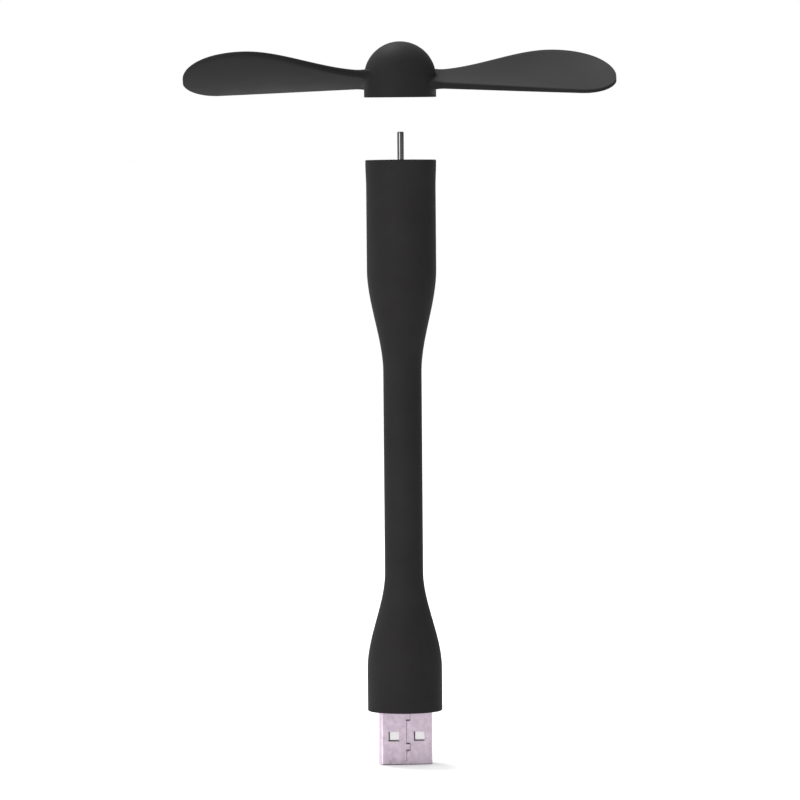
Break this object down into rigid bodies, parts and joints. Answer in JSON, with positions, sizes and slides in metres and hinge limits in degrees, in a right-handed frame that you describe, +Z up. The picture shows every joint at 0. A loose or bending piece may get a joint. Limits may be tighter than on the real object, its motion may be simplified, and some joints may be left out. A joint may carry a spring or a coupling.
{
  "type": "desk fan",
  "caption": "Plug-in stick fan with a broad soft two-blade propeller, a bendable silicone neck and a flat plug at its foot.",
  "frame": {"origin": "centre of the plug's end face, the lowest point of the fan", "axes": "+Z up the stem to the propeller, +X along the plug's width, -Y towards the plug's seam side"},
  "size_m": [0.0986, 0.0252, 0.1644],
  "materials": {
    "silicone": "matt moulded silicone",
    "propeller_soft": "satin soft moulding",
    "plated_steel": "bright tin plate, faint lilac",
    "white_plastic": "moulded",
    "gold_contact": "thin gold plate",
    "black_plastic": "fine texture",
    "solder": "dull tin",
    "wire_steel": "soft annealed wire",
    "lead_insulation": "extruded",
    "polished_steel": "ground and polished",
    "can_steel": "drawn, nickel plated",
    "bronze": "sintered",
    "brass": "stamped",
    "ferrite": "ground",
    "lamination": "stacked sheet",
    "copper_wire": "enamelled",
    "washer_fibre": "plain"
  },
  "bodies": {
    "plug": {"usb_shell": "plated_steel", "usb_insulator": "white_plastic", "usb_contacts": "gold_contact", "plug_core": "black_plastic", "plug_solder": "solder", "plug_sleeve": "silicone", "bend_wire_0": "wire_steel", "leads_0": "lead_insulation"},
    "neck_link_1": {"neck_sleeve_1": "silicone", "bend_wire_1": "wire_steel", "leads_1": "lead_insulation"},
    "neck_link_2": {"neck_sleeve_2": "silicone", "bend_wire_2": "wire_steel", "leads_2": "lead_insulation"},
    "neck_link_3": {"neck_sleeve_3": "silicone", "bend_wire_3": "wire_steel", "leads_3": "lead_insulation"},
    "neck_link_4": {"neck_sleeve_4": "silicone", "bend_wire_4": "wire_steel", "leads_4": "lead_insulation"},
    "neck_link_5": {"neck_sleeve_5": "silicone", "bend_wire_5": "wire_steel", "leads_5": "lead_insulation"},
    "neck_link_6": {"neck_sleeve_6": "silicone", "bend_wire_6": "wire_steel", "leads_6": "lead_insulation"},
    "neck_link_7": {"neck_sleeve_7": "silicone", "bend_wire_7": "wire_steel", "leads_7": "lead_insulation"},
    "motor_head": {"motor_sleeve": "silicone", "bend_wire_8": "wire_steel", "leads_8": "lead_insulation", "motor_cup": "black_plastic", "front_cap": "black_plastic", "motor_can": "can_steel", "front_bearing": "bronze", "rear_bearing": "bronze", "motor_end_cap": "white_plastic", "motor_terminals": "brass", "motor_solder": "solder", "brushes": "brass", "magnet_front": "ferrite", "magnet_back": "ferrite"},
    "rotor": {"shaft": "polished_steel", "rotor_core": "lamination", "windings": "copper_wire", "commutator": "copper_wire", "thrust_washers": "washer_fibre"},
    "propeller": {"propeller": "propeller_soft", "hub_bush": "black_plastic"}
  },
  "joints": [
    {"name": "neck_bend_front", "type": "hinge", "parent": "plug", "child": "neck_link_1", "pos_m": [0, 0, 0.045], "axis": [1, 0, 0], "range_deg": [-22.5, 22.5]},
    {"name": "neck_bend_side", "type": "hinge", "parent": "neck_link_1", "child": "neck_link_2", "pos_m": [0, 0, 0.051], "axis": [0, 1, 0], "range_deg": [-22.5, 22.5]},
    {"name": "neck_bend_front_2", "type": "hinge", "parent": "neck_link_2", "child": "neck_link_3", "pos_m": [0, 0, 0.057], "axis": [1, 0, 0], "range_deg": [-22.5, 22.5]},
    {"name": "neck_bend_side_2", "type": "hinge", "parent": "neck_link_3", "child": "neck_link_4", "pos_m": [0, 0, 0.063], "axis": [0, 1, 0], "range_deg": [-22.5, 22.5]},
    {"name": "neck_bend_front_3", "type": "hinge", "parent": "neck_link_4", "child": "neck_link_5", "pos_m": [0, 0, 0.069], "axis": [1, 0, 0], "range_deg": [-22.5, 22.5]},
    {"name": "neck_bend_side_3", "type": "hinge", "parent": "neck_link_5", "child": "neck_link_6", "pos_m": [0, 0, 0.075], "axis": [0, 1, 0], "range_deg": [-22.5, 22.5]},
    {"name": "neck_bend_front_4", "type": "hinge", "parent": "neck_link_6", "child": "neck_link_7", "pos_m": [0, 0, 0.081], "axis": [1, 0, 0], "range_deg": [-22.5, 22.5]},
    {"name": "neck_bend_side_4", "type": "hinge", "parent": "neck_link_7", "child": "motor_head", "pos_m": [0, 0, 0.087], "axis": [0, 1, 0], "range_deg": [-22.5, 22.5]},
    {"name": "rotor_spin", "type": "hinge", "parent": "motor_head", "child": "rotor", "pos_m": [0, 0, 0.1375], "axis": [0, 0, 1], "continuous": true},
    {"name": "propeller_slide", "type": "slide", "parent": "rotor", "child": "propeller", "axis": [0, 0, 1], "range_m": [-0.0135, 0]}
  ],
  "couplings": [
    {"joint": "neck_bend_front_2", "follows": "neck_bend_front", "ratio": 1},
    {"joint": "neck_bend_side_2", "follows": "neck_bend_side", "ratio": 1},
    {"joint": "neck_bend_front_3", "follows": "neck_bend_front", "ratio": 1},
    {"joint": "neck_bend_side_3", "follows": "neck_bend_side", "ratio": 1},
    {"joint": "neck_bend_front_4", "follows": "neck_bend_front", "ratio": 1},
    {"joint": "neck_bend_side_4", "follows": "neck_bend_side", "ratio": 1}
  ]
}
